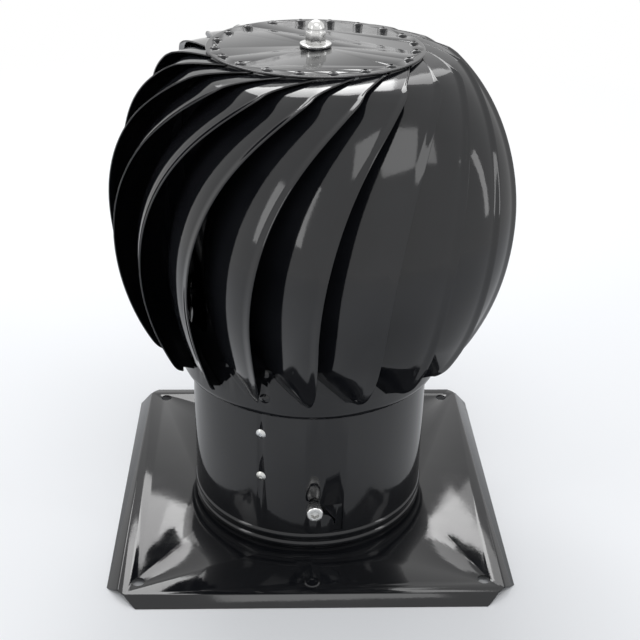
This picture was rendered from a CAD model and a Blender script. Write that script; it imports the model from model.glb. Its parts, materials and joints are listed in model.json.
"""Looks of a rotating chimney cowl: powder-coated blades on a riveted ring and disc, over a flue tube."""

from __future__ import annotations

import json
import logging
import math
from dataclasses import dataclass, field
from enum import Enum

import bpy
import numpy as np
from mathutils import Matrix, Vector

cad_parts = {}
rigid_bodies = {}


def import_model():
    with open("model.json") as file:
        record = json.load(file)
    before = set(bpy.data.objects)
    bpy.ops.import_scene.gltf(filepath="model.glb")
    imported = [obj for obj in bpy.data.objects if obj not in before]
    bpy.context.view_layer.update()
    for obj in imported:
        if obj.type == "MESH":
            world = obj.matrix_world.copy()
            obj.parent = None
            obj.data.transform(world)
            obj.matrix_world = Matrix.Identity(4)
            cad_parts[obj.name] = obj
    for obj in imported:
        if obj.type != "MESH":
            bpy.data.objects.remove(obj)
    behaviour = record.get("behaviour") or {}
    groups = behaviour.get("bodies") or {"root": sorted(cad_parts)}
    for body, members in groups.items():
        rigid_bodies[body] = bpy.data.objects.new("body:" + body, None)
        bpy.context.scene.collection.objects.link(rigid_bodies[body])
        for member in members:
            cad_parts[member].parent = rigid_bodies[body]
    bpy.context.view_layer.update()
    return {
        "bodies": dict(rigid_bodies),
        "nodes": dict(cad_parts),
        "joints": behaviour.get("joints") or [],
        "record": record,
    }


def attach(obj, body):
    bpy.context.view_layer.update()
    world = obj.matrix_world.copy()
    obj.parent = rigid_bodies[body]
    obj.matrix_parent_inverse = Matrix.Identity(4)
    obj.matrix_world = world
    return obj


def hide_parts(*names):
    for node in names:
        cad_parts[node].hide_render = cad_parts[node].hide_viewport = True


LOG = logging.getLogger("cowl")
MM = 0.001


class Slot(Enum):
    """The record's material slots."""

    POWDER = "powder_coat"
    STAINLESS = "stainless"
    ZINC = "zinc"
    BEARING = "bearing_steel"


class Body(Enum):
    """The two bodies of the cowl."""

    BASE = "base"
    ROTOR = "rotor"


class NodeBench:
    """Adds and wires the nodes of one material."""

    def __init__(self, name: str) -> None:
        """Starts a material with nothing but its output.

        Args:
            name: name of the material.
        """
        self.material = bpy.data.materials.new(name)
        self.material.use_nodes = True
        self.tree = self.material.node_tree
        self.tree.nodes.clear()
        self.output = self.tree.nodes.new("ShaderNodeOutputMaterial")

    def add(self, kind: str, inputs: dict[str, object] | None = None, **settings: object) -> bpy.types.Node:
        """Adds a node.

        Args:
            kind: Blender's name of the node without its ShaderNode prefix.
            inputs: values of its sockets by name.
            settings: its own settings.

        Returns:
            The new node.
        """
        node = self.tree.nodes.new("ShaderNode" + kind)
        for key, value in settings.items():
            setattr(node, key, value)
        for key, value in (inputs or {}).items():
            node.inputs[key].default_value = value
        return node

    def wire(self, source: bpy.types.NodeSocket, target: bpy.types.NodeSocket) -> None:
        """Joins two sockets."""
        self.tree.links.new(source, target)

    def place(self) -> bpy.types.NodeSocket:
        """Returns the socket with the place on the object, in metres."""
        return self.add("TexCoord").outputs["Object"]

    def noise(self, place: bpy.types.NodeSocket, scale: float, detail: float = 2.0) -> bpy.types.NodeSocket:
        """Adds a noise.

        Args:
            place: socket with the coordinates.
            scale: features in a metre.
            detail: octaves of finer noise on top.

        Returns:
            The socket with the noise's strength.
        """
        node = self.add("TexNoise", {"Scale": scale, "Detail": detail, "Roughness": 0.5})
        self.wire(place, node.inputs["Vector"])
        return node.outputs["Fac"]

    def spread(self, value: bpy.types.NodeSocket, low: float, high: float,
               start: float = 0.3, end: float = 0.7) -> bpy.types.NodeSocket:
        """Maps a value from start..end to low..high.

        Args:
            value: socket with the value.
            low: result at the start.
            high: result at the end.
            start: value that gives low.
            end: value that gives high.

        Returns:
            The socket with the mapped value.
        """
        node = self.add("MapRange", {"From Min": start, "From Max": end, "To Min": low, "To Max": high})
        self.wire(value, node.inputs["Value"])
        return node.outputs["Result"]

    def tint(self, value: bpy.types.NodeSocket, first: tuple[float, ...], second: tuple[float, ...],
             start: float = 0.3, end: float = 0.7) -> bpy.types.NodeSocket:
        """Colours a value from one colour to another.

        Args:
            value: socket with the value.
            first: colour at the start.
            second: colour at the end.
            start: value that gives the first colour.
            end: value that gives the second colour.

        Returns:
            The socket with the colour.
        """
        node = self.add("ValToRGB")
        ramp = node.color_ramp.elements
        ramp[0].position, ramp[0].color = start, (*first, 1.0)
        ramp[1].position, ramp[1].color = end, (*second, 1.0)
        self.wire(value, node.inputs["Fac"])
        return node.outputs["Color"]

    def bump(self, height: bpy.types.NodeSocket, depth_mm: float,
             under: bpy.types.NodeSocket | None = None) -> bpy.types.NodeSocket:
        """Turns a height into a slope of the surface.

        Args:
            height: socket with a height from 0 to 1.
            depth_mm: real depth of that height.
            under: socket with the slope that this one adds to.

        Returns:
            The socket with the surface's normal.
        """
        node = self.add("Bump", {"Strength": 1.0, "Distance": depth_mm * MM})
        self.wire(height, node.inputs["Height"])
        if under is not None:
            self.wire(under, node.inputs["Normal"])
        return node.outputs["Normal"]

    def finish(self, shader: bpy.types.NodeSocket) -> bpy.types.Material:
        """Wires the shader to the output and returns the material."""
        self.wire(shader, self.output.inputs["Surface"])
        return self.material


@dataclass(frozen=True)
class PowderCoat:
    """Glossy near-black powder coat with a slight orange peel."""

    name: str = "powder_coat_gloss"
    black: tuple[float, ...] = (0.0052, 0.0056, 0.0070)
    worn: tuple[float, ...] = (0.0088, 0.0094, 0.0112)
    peel_per_metre: float = 520.0
    peel_mm: float = 0.012
    wave_per_metre: float = 45.0
    wave_mm: float = 0.10
    rough: tuple[float, float] = (0.055, 0.115)

    def build(self) -> bpy.types.Material:
        """Returns the material."""
        bench = NodeBench(self.name)
        place = bench.place()
        shader = bench.add("BsdfPrincipled", {"IOR": 1.5, "Metallic": 0.0})
        bench.wire(bench.tint(bench.noise(place, 36, 5), self.black, self.worn), shader.inputs["Base Color"])
        bench.wire(bench.spread(bench.noise(place, 90, 4), *self.rough), shader.inputs["Roughness"])
        wave = bench.bump(bench.noise(place, self.wave_per_metre, 0), self.wave_mm)
        peel = bench.bump(bench.noise(place, self.peel_per_metre, 1), self.peel_mm, wave)
        bench.wire(peel, shader.inputs["Normal"])
        return bench.finish(shader.outputs["BSDF"])


@dataclass(frozen=True)
class TurnedStainless:
    """Bright stainless steel with fine turning marks round the cowl's axis."""

    name: str = "stainless_turned"
    bright: tuple[float, ...] = (0.78, 0.78, 0.77)
    dull: tuple[float, ...] = (0.62, 0.62, 0.61)
    mark_per_metre: float = 2600.0
    mark_mm: float = 0.004
    rough: tuple[float, float] = (0.14, 0.30)

    def build(self) -> bpy.types.Material:
        """Returns the material."""
        bench = NodeBench(self.name)
        place = bench.place()
        split = bench.add("SeparateXYZ")
        bench.wire(place, split.inputs["Vector"])
        radius = bench.add("VectorMath", operation="LENGTH")
        flat = bench.add("CombineXYZ")
        bench.wire(split.outputs["X"], flat.inputs["X"])
        bench.wire(split.outputs["Y"], flat.inputs["Y"])
        bench.wire(flat.outputs["Vector"], radius.inputs[0])
        turned = bench.add("CombineXYZ")
        bench.wire(radius.outputs["Value"], turned.inputs["X"])
        bench.wire(split.outputs["Z"], turned.inputs["Y"])
        marks = bench.noise(turned.outputs["Vector"], self.mark_per_metre, 2)
        shader = bench.add("BsdfPrincipled", {"Metallic": 1.0})
        bench.wire(bench.tint(bench.noise(place, 260, 4), self.dull, self.bright), shader.inputs["Base Color"])
        bench.wire(bench.spread(bench.noise(place, 700, 3), *self.rough), shader.inputs["Roughness"])
        bench.wire(bench.bump(marks, self.mark_mm), shader.inputs["Normal"])
        return bench.finish(shader.outputs["BSDF"])


@dataclass(frozen=True)
class ZincPlate:
    """Zinc-plated steel with the faint clouds of its passivation."""

    name: str = "zinc_plate"
    cold: tuple[float, ...] = (0.56, 0.59, 0.63)
    warm: tuple[float, ...] = (0.66, 0.65, 0.60)
    grain_per_metre: float = 900.0
    grain_mm: float = 0.006
    rough: tuple[float, float] = (0.24, 0.42)

    def build(self) -> bpy.types.Material:
        """Returns the material."""
        bench = NodeBench(self.name)
        place = bench.place()
        shader = bench.add("BsdfPrincipled", {"Metallic": 1.0})
        bench.wire(bench.tint(bench.noise(place, 70, 5), self.cold, self.warm), shader.inputs["Base Color"])
        bench.wire(bench.spread(bench.noise(place, 180, 4), *self.rough), shader.inputs["Roughness"])
        grain = bench.noise(place, self.grain_per_metre, 3)
        bench.wire(bench.bump(grain, self.grain_mm), shader.inputs["Normal"])
        return bench.finish(shader.outputs["BSDF"])


@dataclass(frozen=True)
class GroundSteel:
    """Ground and polished bearing steel."""

    name: str = "bearing_steel_ground"
    bright: tuple[float, ...] = (0.72, 0.73, 0.75)
    dull: tuple[float, ...] = (0.60, 0.61, 0.63)
    grain_per_metre: float = 3000.0
    grain_mm: float = 0.001
    rough: tuple[float, float] = (0.08, 0.20)

    def build(self) -> bpy.types.Material:
        """Returns the material."""
        bench = NodeBench(self.name)
        place = bench.place()
        shader = bench.add("BsdfPrincipled", {"Metallic": 1.0})
        bench.wire(bench.tint(bench.noise(place, 400, 3), self.dull, self.bright), shader.inputs["Base Color"])
        bench.wire(bench.spread(bench.noise(place, 900, 3), *self.rough), shader.inputs["Roughness"])
        grain = bench.noise(place, self.grain_per_metre, 2)
        bench.wire(bench.bump(grain, self.grain_mm), shader.inputs["Normal"])
        return bench.finish(shader.outputs["BSDF"])


@dataclass
class Paintshop:
    """Keeps one material for each slot of the record."""

    powder: PowderCoat = field(default_factory=PowderCoat)
    stainless: TurnedStainless = field(default_factory=TurnedStainless)
    zinc: ZincPlate = field(default_factory=ZincPlate)
    bearing: GroundSteel = field(default_factory=GroundSteel)

    def mix(self) -> None:
        """Builds the four materials."""
        self.ready = {
            Slot.POWDER: self.powder.build(),
            Slot.STAINLESS: self.stainless.build(),
            Slot.ZINC: self.zinc.build(),
            Slot.BEARING: self.bearing.build(),
        }

    def dress(self, obj: bpy.types.Object, slot: Slot) -> None:
        """Gives an object one finish all over.

        Args:
            obj: a new piece or a carried-over node.
            slot: the finish.
        """
        if not obj.material_slots:
            obj.data.materials.append(self.ready[slot])
        for place in obj.material_slots:
            place.material = self.ready[slot]


class Workbench:
    """Small jobs that are the same for each piece."""

    @staticmethod
    def clear() -> None:
        """Leaves edit mode and deselects everything."""
        if bpy.context.mode != "OBJECT":
            bpy.ops.object.mode_set(mode="OBJECT")
        bpy.ops.object.select_all(action="DESELECT")

    @staticmethod
    def take(obj: bpy.types.Object) -> None:
        """Makes an object the only selected and active one."""
        Workbench.clear()
        obj.select_set(True)
        bpy.context.view_layer.objects.active = obj

    @staticmethod
    def modify(obj: bpy.types.Object, kind: str, **settings: object) -> None:
        """Adds a modifier and applies it at once.

        Args:
            obj: the piece.
            kind: Blender's type of modifier.
            settings: its settings.
        """
        Workbench.take(obj)
        modifier = obj.modifiers.new(kind.lower(), kind)
        for key, value in settings.items():
            setattr(modifier, key, value)
        bpy.ops.object.modifier_apply(modifier=modifier.name)

    @staticmethod
    def smooth(obj: bpy.types.Object, angle_deg: float = 35.0) -> None:
        """Shades an object smooth up to an angle."""
        Workbench.take(obj)
        bpy.ops.object.shade_smooth_by_angle(angle=math.radians(angle_deg))

    @staticmethod
    def deliver(obj: bpy.types.Object, body: Body, slot: Slot, paint: Paintshop, nodes: list[str]) -> None:
        """Dresses a finished piece and tells the frame what it is.

        Args:
            obj: the piece.
            body: the body that it moves with.
            slot: its finish.
            paint: the finishes.
            nodes: the nodes that it stands for.
        """
        paint.dress(obj, slot)
        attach(obj, body.value)
        if nodes:
            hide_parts(*nodes)
        LOG.info("%s: %d faces, on %s, for %s", obj.name, len(obj.data.polygons), body.value, ", ".join(nodes) or "-")


@dataclass
class SweptBlades:
    """The rotor's blades: each a thin sheet with a bent lip, a tab under the disc and a foot on the ring."""

    count: int = 20
    sheet: float = 0.8
    rotor_r: float = 121.5
    widest_z: float = 207.0
    shoulder_r: float = 84.0
    shoulder_drop: float = 5.2
    tip_r: float = 97.0
    tip_z: float = 122.0
    phase: float = -107.9
    turn_start_drop: float = 37.0
    edge_lead: float = 33.2
    tip_trail: float = 1.2
    tip_round: float = 0.3
    gentle_share: float = 0.5
    tab_lead: float = 43.4
    tab_end: float = 6.5
    tab_taper: float = 2.5
    tab_ahead: float = 10.4
    tab_behind: float = 4.5
    wrap_angle: float = 28.0
    shoulder_wrap: float = 26.0
    ring_wrap: float = 25.0
    foot_wrap: float = 5.3
    inner_r: float = 89.0
    inner_shoulder_r: float = 63.0
    inner_shoulder_drop: float = 4.6
    lip_w: float = 5.0
    lip_bend: float = 30.0
    lip_stub: float = 0.8
    foot_w: float = 10.0
    disc_r: float = 62.2
    disc_under_z: float = 302.2
    disc_rivet_r: float = 56.9
    ring_r: float = 82.4
    ring_high: float = 146.0
    hole_gap: float = 0.1
    section_power: float = 1.25
    fold_reach: float = 1.5
    edge_mm: float = 0.16

    def arc(self, r_wide: float, r_end: float, height: float, share: float) -> tuple[float, float, float]:
        """Finds a point on the arc that is upright at the widest place.

        Args:
            r_wide: radius at the widest place.
            r_end: radius at the arc's end.
            height: height of that end over the widest place.
            share: way along the arc, from its end.

        Returns:
            Radius, height and slope in degrees.
        """
        centre = (r_wide**2 - r_end**2 - height**2) / 2 / (r_wide - r_end)
        radius = r_wide - centre
        angle = math.asin(height / radius) * (1 - share)
        return centre + radius * math.cos(angle), self.widest_z + radius * math.sin(angle), math.degrees(angle)

    def edge_turn(self, z: float) -> float:
        """Returns the turn of the outer edge at a height, in degrees."""
        low = self.widest_z - self.turn_start_drop
        f = max(0.0, (z - low) / (self.disc_under_z - self.shoulder_drop - low))
        return self.edge_lead * (self.gentle_share * f**2 + (1 - self.gentle_share) * f**6)

    @staticmethod
    def lerp(a: float, b: float, f: float) -> float:
        """Returns the value at the share f of the way from a to b."""
        return a + (b - a) * f

    def tab_row(self, share: float) -> list[float]:
        """Returns the station at a share of the way from the tab's end to the disc's rim."""
        r = self.lerp(self.disc_rivet_r - self.tab_end, self.disc_r - 1, share)
        narrow = self.tab_taper * (1 - share)
        z = self.disc_under_z - self.sheet / 2
        outer = self.tab_lead + self.tab_ahead - narrow
        inner = self.tab_lead - self.tab_behind + narrow
        return [r, outer, z, 90.0, r, inner, z, self.lip_stub, self.lip_stub]

    def crown_row(self, v: float) -> list[float]:
        """Returns the station at a share of the way from the disc's rim to the shoulder."""
        tab_z = self.disc_under_z - self.sheet / 2
        shoulder_z = self.disc_under_z - self.shoulder_drop
        slope = self.arc(self.rotor_r, self.shoulder_r, shoulder_z - self.widest_z, 0)[2]
        tab_outer = self.tab_lead + self.tab_ahead
        turn = self.edge_lead + (tab_outer - self.edge_lead) * (1 - v) ** 1.6
        wrap = self.lerp(self.tab_ahead + self.tab_behind, self.shoulder_wrap, v * v)
        return [
            self.lerp(self.disc_r - 1, self.shoulder_r, v), turn,
            tab_z - (self.shoulder_drop - self.sheet / 2) * v**1.7, self.lerp(90, slope, v),
            self.lerp(self.disc_r - 1, self.inner_shoulder_r, v), turn - wrap,
            tab_z - (self.inner_shoulder_drop - self.sheet / 2) * math.sqrt(v),
            self.lerp(self.lip_stub, self.lip_w, v**4), self.lip_stub]

    def upper_row(self, f: float) -> list[float]:
        """Returns the station at a share of the way from the shoulder to the widest place."""
        shoulder_z = self.disc_under_z - self.shoulder_drop
        outer = self.arc(self.rotor_r, self.shoulder_r, shoulder_z - self.widest_z, f)
        inner = self.arc(self.inner_r, self.inner_shoulder_r,
                         self.disc_under_z - self.inner_shoulder_drop - self.widest_z, f)
        turn = self.edge_turn(outer[1])
        return [outer[0], turn, outer[1], outer[2], inner[0],
                turn - self.lerp(self.shoulder_wrap, self.wrap_angle, f), inner[1], self.lip_w, self.lip_stub]

    def foot_mid_r(self) -> float:
        """Returns the radius of the middle of the foot's sheet."""
        return self.ring_r + self.hole_gap + self.foot_w**2 / 8 / self.ring_r + self.sheet / 2

    def lower_share(self) -> float:
        """Returns the part of the lower arc that lies above the ring."""
        return (self.widest_z - self.ring_high) / (self.widest_z - self.tip_z)

    def lower_row(self, g: float) -> list[float]:
        """Returns the station at a share of the way from the widest place to the ring's upper edge."""
        outer = self.arc(self.rotor_r, self.tip_r, self.tip_z - self.widest_z, 1 - g * self.lower_share())
        inner = self.arc(self.inner_r, self.foot_mid_r(), self.ring_high - self.widest_z, 1 - g)
        turn = self.edge_turn(outer[1])
        return [outer[0], turn, outer[1], outer[2], inner[0],
                turn - self.lerp(self.wrap_angle, self.ring_wrap, g**3), inner[1], self.lip_w,
                self.lerp(self.lip_stub, self.foot_w, g**6)]

    def ring_row(self, h: float) -> list[float]:
        """Returns the station at a share of the way from the ring's upper edge to the blade's lower end."""
        outer = self.arc(self.rotor_r, self.tip_r, self.tip_z - self.widest_z, (1 - self.lower_share()) * (1 - h))
        off = self.tip_round * h**12
        wrap = -self.lerp(self.ring_wrap, self.foot_wrap, h)
        end_z = self.tip_z - 5
        return [
            self.lerp(outer[0], self.foot_mid_r(), off), self.lerp(-self.tip_trail * h * h, wrap, off),
            self.lerp(outer[1], end_z, off), outer[2], self.foot_mid_r(), wrap,
            self.lerp(self.ring_high, end_z, h), self.lip_w * (1 - off),
            self.lerp(self.foot_w, self.foot_w * 0.7, h)]

    def rows(self) -> list[list[float]]:
        """Returns all stations from the tab's end to the lower end."""
        skip_crown, skip_upper = (5 / 5.35) ** 1.6, (0.65 / 6.65) ** 1.5
        before, corner, after = self.crown_row(skip_crown), self.crown_row(1.0), self.upper_row(skip_upper)
        rows = [self.tab_row(i / 4) for i in range(5)]
        rows += [self.crown_row(skip_crown * (i / 14) ** 1.4) for i in range(1, 15)]
        for i in range(1, 6):
            t = i / 6
            rows.append([(1 - t) ** 2 * a + 2 * t * (1 - t) * (0.5 * b + 0.25 * (a + c)) + t * t * c
                         for a, b, c in zip(before, corner, after)])
        rows += [self.upper_row(skip_upper + (1 - skip_upper) * (i / 26) ** 1.25) for i in range(27)]
        rows += [self.lower_row(i / 16) for i in range(1, 17)]
        rows += [self.ring_row(1 - (1 - i / 16) ** 1.6) for i in range(1, 17)]
        return rows

    def across(self, s: list[float]) -> np.ndarray:
        """Lays out the points of one station, from the lip's edge to the end of the foot.

        Args:
            s: outer radius, angle, height and slope, inner radius, angle and height, lip and strip widths.

        Returns:
            Points in millimetres.
        """
        def point(r: float, a: float, z: float) -> np.ndarray:
            """Returns a point from its radius, angle and height."""
            return np.array([r * math.cos(math.radians(a)), r * math.sin(math.radians(a)), z])

        lip_in = s[7] * math.sin(math.radians(self.lip_bend))
        lip_along = s[7] * math.cos(math.radians(self.lip_bend))
        level = s[3] >= 89.999
        fold_r = s[0] if level else s[0] - lip_in * math.cos(math.radians(s[3]))
        fold_z = s[2] if level else s[2] - lip_in * math.sin(math.radians(s[3]))
        fold_a = s[1] - math.degrees(lip_along / s[0])

        def on_face(f: float) -> np.ndarray:
            """Returns a point at a share of the way from the fold to the inner edge."""
            g = f**self.section_power
            return point(self.lerp(fold_r, s[4], g), self.lerp(fold_a, s[5], f), self.lerp(fold_z, s[6], g))

        edge, fold = point(s[0], s[1], s[2]), on_face(0.0)
        reach = min(self.fold_reach, 0.45 * float(np.linalg.norm(edge - fold)))
        share = reach / max(float(np.linalg.norm(on_face(1.0) - fold)), 1e-6)
        start, stop = fold + (edge - fold) / np.linalg.norm(edge - fold) * reach, on_face(share)
        points = [edge, (edge + start) / 2]
        for i in range(5):
            t = i / 4
            points.append((1 - t) ** 2 * start + 2 * t * (1 - t) * fold + t * t * stop)
        points += [on_face(share + (1 - share) * i / 14) for i in range(1, 14)]
        end = point(s[4], s[5], s[6])
        strip = point(s[4], s[5] - math.degrees(s[8] / s[4]), s[6])
        back, ahead = end + (points[-1] - end) * 0.25, end + (strip - end) * 0.16
        for i in range(4):
            t = i / 3
            points.append((1 - t) ** 2 * back + 2 * t * (1 - t) * end + t * t * ahead)
        points += [ahead + (strip - ahead) * i / 3 for i in range(1, 4)]
        return np.array(points)

    def model_one(self) -> bpy.types.Object:
        """Shapes the first blade from a grid.

        Returns:
            The finished blade at an angle of zero.
        """
        grid = np.array([self.across(s) for s in self.rows()])
        Workbench.clear()
        bpy.ops.mesh.primitive_grid_add(x_subdivisions=grid.shape[1] - 1, y_subdivisions=grid.shape[0] - 1, size=1)
        blade = bpy.context.object
        if len(blade.data.vertices) != grid.shape[0] * grid.shape[1]:
            raise ValueError("the grid has %d points, not %s" % (len(blade.data.vertices), grid.shape))
        blade.data.vertices.foreach_set("co", (grid.reshape(-1, 3) * MM).ravel())
        blade.data.update()
        Workbench.modify(blade, "SOLIDIFY", thickness=self.sheet * MM, offset=0.0, use_even_offset=True,
                         use_quality_normals=True)
        Workbench.modify(blade, "BEVEL", width=self.edge_mm * MM, segments=2, limit_method="ANGLE",
                         angle_limit=math.radians(50), use_clamp_overlap=False)
        bpy.ops.object.mode_set(mode="EDIT")
        bpy.ops.mesh.select_all(action="SELECT")
        bpy.ops.mesh.normals_make_consistent(inside=False)
        bpy.ops.object.mode_set(mode="OBJECT")
        return blade

    def build(self, paint: Paintshop) -> None:
        """Makes all blades.

        Args:
            paint: the finishes.
        """
        first = self.model_one()
        for k in range(self.count):
            blade = first.copy()
            blade.data = first.data.copy()
            blade.name = "swept_blade_%02d" % (k + 1)
            bpy.context.collection.objects.link(blade)
            blade.data.transform(Matrix.Rotation(math.radians(self.phase + k * 360 / self.count), 4, "Z"))
            Workbench.smooth(blade)
            Workbench.deliver(blade, Body.ROTOR, Slot.POWDER, paint, ["blade_%02d" % (k + 1)])
        bpy.data.objects.remove(first)


@dataclass
class EasedPart:
    """A carried-over node whose sharp edges are eased, as a real sheet's or turned part's are."""

    node: str
    piece: str
    body: Body
    slot: Slot
    edge_mm: float = 0.15
    angle_deg: float = 32.0
    segments: int = 2

    def build(self, nodes: dict[str, bpy.types.Object], paint: Paintshop) -> None:
        """Copies the node, merges the copy and bevels its sharp edges.

        Args:
            nodes: the frame's nodes by name.
            paint: the finishes.
        """
        Workbench.clear()
        part = bpy.data.objects.new(self.piece, nodes[self.node].data.copy())
        bpy.context.collection.objects.link(part)
        Workbench.take(part)
        if part.data.has_custom_normals:
            bpy.ops.mesh.customdata_custom_splitnormals_clear()
        bpy.ops.object.mode_set(mode="EDIT")
        bpy.ops.mesh.select_all(action="SELECT")
        bpy.ops.mesh.remove_doubles(threshold=0.002 * MM)
        bpy.ops.mesh.dissolve_limited(angle_limit=math.radians(0.2))
        bpy.ops.object.mode_set(mode="OBJECT")
        Workbench.modify(part, "BEVEL", width=self.edge_mm * MM, segments=self.segments, limit_method="ANGLE",
                         angle_limit=math.radians(self.angle_deg), use_clamp_overlap=True)
        Workbench.smooth(part, self.angle_deg)
        Workbench.deliver(part, self.body, self.slot, paint, [self.node])


@dataclass(frozen=True)
class SoftBox:
    """A lamp panel that looks at a point in the middle of the cowl."""

    name: str
    azimuth: float
    elevation: float
    distance: float
    width: float
    height: float
    glow: float
    aim: tuple[float, float, float] = (0.0, 0.0, 0.16)

    def centre(self) -> Vector:
        """Returns the panel's middle."""
        a, e = math.radians(self.azimuth), math.radians(self.elevation)
        out = Vector((math.sin(a) * math.cos(e), -math.cos(a) * math.cos(e), math.sin(e)))
        return Vector(self.aim) + out * self.distance

    def hang(self) -> None:
        """Adds the lamp, whose power follows from how bright its face is."""
        lamp = bpy.data.lights.new(self.name, "AREA")
        lamp.shape = "RECTANGLE"
        lamp.size, lamp.size_y = self.width, self.height
        lamp.energy = self.glow * math.pi * self.width * self.height
        obj = bpy.data.objects.new(self.name, lamp)
        obj.location = self.centre()
        obj.rotation_mode = "QUATERNION"
        obj.rotation_quaternion = (Vector(self.aim) - self.centre()).to_track_quat("-Z", "Y")
        obj.visible_camera = False
        bpy.context.collection.objects.link(obj)


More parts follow.
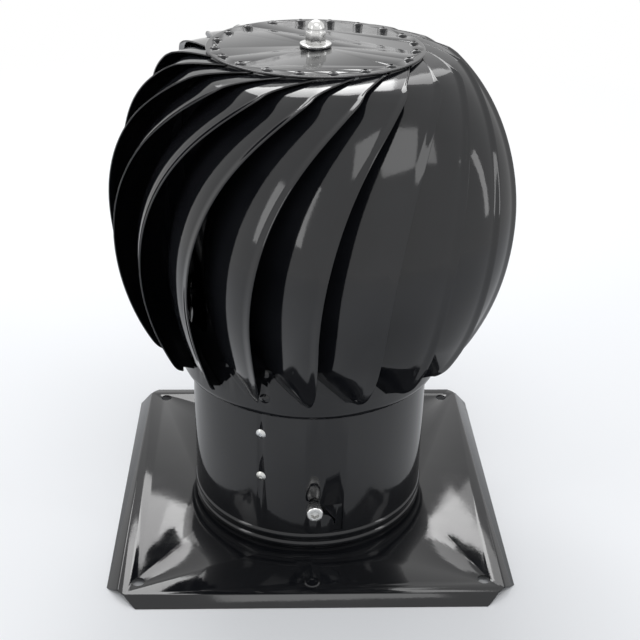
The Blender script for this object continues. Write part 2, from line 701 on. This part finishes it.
@dataclass
class Studio:
    """Camera, floor, world and lamps."""

    lens_mm: float = 65.615
    sensor_mm: float = 36.0
    spot: tuple[float, ...] = (-0.02348, -0.65446, 0.47601)
    right: tuple[float, ...] = (0.99921, -0.03438, 0.02001)
    up: tuple[float, ...] = (-0.00151, 0.46987, 0.88273)
    forward: tuple[float, ...] = (0.03975, 0.88206, -0.46945)
    floor_size: float = 12.0
    floor_colour: tuple[float, ...] = (0.86, 0.87, 0.89)
    room_light: float = 0.62
    boxes: tuple[SoftBox, ...] = (
        SoftBox("panel_back_left", -168, 48, 1.6, 0.9, 0.7, 5.5),
        SoftBox("panel_back_right", 165, 46, 1.6, 0.8, 0.5, 2.4),
        SoftBox("panel_top_front", 8, 62, 1.5, 0.9, 0.6, 2.2),
        SoftBox("panel_left_low", -62, 22, 1.5, 0.25, 0.9, 3.0),
        SoftBox("panel_right_low", 70, 20, 1.5, 0.18, 0.9, 3.4),
    )

    def set_camera(self) -> None:
        """Puts the camera where the photograph was taken from."""
        camera = bpy.data.cameras.new("photo_camera")
        camera.lens, camera.sensor_width, camera.sensor_fit = self.lens_mm, self.sensor_mm, "HORIZONTAL"
        camera.clip_start, camera.clip_end = 0.01, 100.0
        obj = bpy.data.objects.new("photo_camera", camera)
        axes = Matrix((self.right, self.up, [-c for c in self.forward])).transposed()
        obj.matrix_world = Matrix.Translation(self.spot) @ axes.to_4x4()
        bpy.context.collection.objects.link(obj)
        bpy.context.scene.camera = obj

    def lay_floor(self) -> None:
        """Lays a pale floor that keeps the cowl's shadow and fades to plain white far out."""
        Workbench.clear()
        bpy.ops.mesh.primitive_plane_add(size=self.floor_size, location=(0, 0, -0.0002))
        floor = bpy.context.object
        floor.name = "floor"
        Workbench.take(floor)
        bpy.ops.object.transform_apply(location=True, rotation=True, scale=True)
        bench = NodeBench("floor_pale")
        place = bench.place()
        reach = bench.add("VectorMath", operation="LENGTH")
        bench.wire(place, reach.inputs[0])
        fade = bench.spread(reach.outputs["Value"], 0.0, 1.0, 0.45, 1.1)
        seen = self.seen_directly(bench)
        both = bench.add("Math", operation="MULTIPLY")
        bench.wire(fade, both.inputs[0])
        bench.wire(seen, both.inputs[1])
        matt = bench.add("BsdfDiffuse", {"Color": (*self.floor_colour, 1.0)})
        white = bench.add("Emission", {"Color": (1, 1, 1, 1), "Strength": 1.0})
        blend = bench.add("MixShader")
        bench.wire(both.outputs["Value"], blend.inputs["Fac"])
        bench.wire(matt.outputs["BSDF"], blend.inputs[1])
        bench.wire(white.outputs["Emission"], blend.inputs[2])
        floor.data.materials.append(bench.finish(blend.outputs["Shader"]))

    @staticmethod
    def seen_directly(bench: NodeBench) -> bpy.types.NodeSocket:
        """Returns a socket that is 1 for what the camera sees, also in a mirror or through glass."""
        path = bench.add("LightPath")
        first = bench.add("Math", operation="MAXIMUM")
        bench.wire(path.outputs["Is Camera Ray"], first.inputs[0])
        bench.wire(path.outputs["Is Glossy Ray"], first.inputs[1])
        second = bench.add("Math", operation="MAXIMUM")
        bench.wire(first.outputs["Value"], second.inputs[0])
        bench.wire(path.outputs["Is Transmission Ray"], second.inputs[1])
        return second.outputs["Value"]

    def light_room(self) -> None:
        """Gives the room a soft grey light behind a white backdrop."""
        world = bpy.data.worlds.new("studio_world")
        bpy.context.scene.world = world
        world.use_nodes = True
        bench = NodeBench.__new__(NodeBench)
        bench.tree = world.node_tree
        bench.tree.nodes.clear()
        bench.output = bench.tree.nodes.new("ShaderNodeOutputWorld")
        soft = bench.add("Background", {"Color": (0.97, 0.985, 1.0, 1.0), "Strength": self.room_light})
        white = bench.add("Background", {"Color": (1, 1, 1, 1), "Strength": 1.0})
        blend = bench.add("MixShader")
        bench.wire(self.seen_directly(bench), blend.inputs["Fac"])
        bench.wire(soft.outputs["Background"], blend.inputs[1])
        bench.wire(white.outputs["Background"], blend.inputs[2])
        bench.wire(blend.outputs["Shader"], bench.output.inputs["Surface"])

    def build(self) -> None:
        """Sets up camera, floor, room and lamps."""
        self.set_camera()
        self.lay_floor()
        self.light_room()
        for box in self.boxes:
            box.hang()
        bpy.context.scene.view_settings.view_transform = "Standard"


@dataclass
class Cowl:
    """The whole cowl in the order in which it is put together."""

    eased: tuple[EasedPart, ...] = (
        EasedPart("base_plate", "folded_base_plate", Body.BASE, Slot.POWDER, 0.22),
        EasedPart("tube", "upright_tube", Body.BASE, Slot.POWDER, 0.18),
        EasedPart("flue_collar", "slotted_flue_collar", Body.BASE, Slot.POWDER, 0.18),
        EasedPart("top_disc", "rotor_disc", Body.ROTOR, Slot.POWDER, 0.12),
        EasedPart("skirt_ring", "rolled_skirt_ring", Body.ROTOR, Slot.POWDER, 0.16),
        EasedPart("bearing_housing", "turned_housing", Body.BASE, Slot.ZINC, 0.3),
        EasedPart("clamp_screw", "socket_screw", Body.BASE, Slot.STAINLESS, 0.15),
        EasedPart("dome_nut", "domed_nut", Body.ROTOR, Slot.STAINLESS, 0.2),
        EasedPart("top_washer", "disc_washer", Body.ROTOR, Slot.STAINLESS, 0.2),
    )
    blades: SweptBlades = field(default_factory=SweptBlades)

    def build(self, frame: dict, paint: Paintshop) -> None:
        """Dresses the carried-over nodes, then makes the new pieces.

        Args:
            paint: the finishes.
        """
        for row in frame["record"]["subparts"]:
            paint.dress(frame["nodes"][row["node"]], Slot(row["material_slot"]))
            LOG.info("%s: carried over in %s", row["node"], row["material_slot"])
        for part in self.eased:
            part.build(frame["nodes"], paint)
        self.blades.build(paint)


def main() -> None:
    """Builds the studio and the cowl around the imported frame."""
    logging.basicConfig(level=logging.INFO, format="%(name)s: %(message)s")
    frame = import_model()
    Studio().build()
    paint = Paintshop()
    paint.mix()
    Cowl().build(frame, paint)


if __name__ == "__main__":
    main()
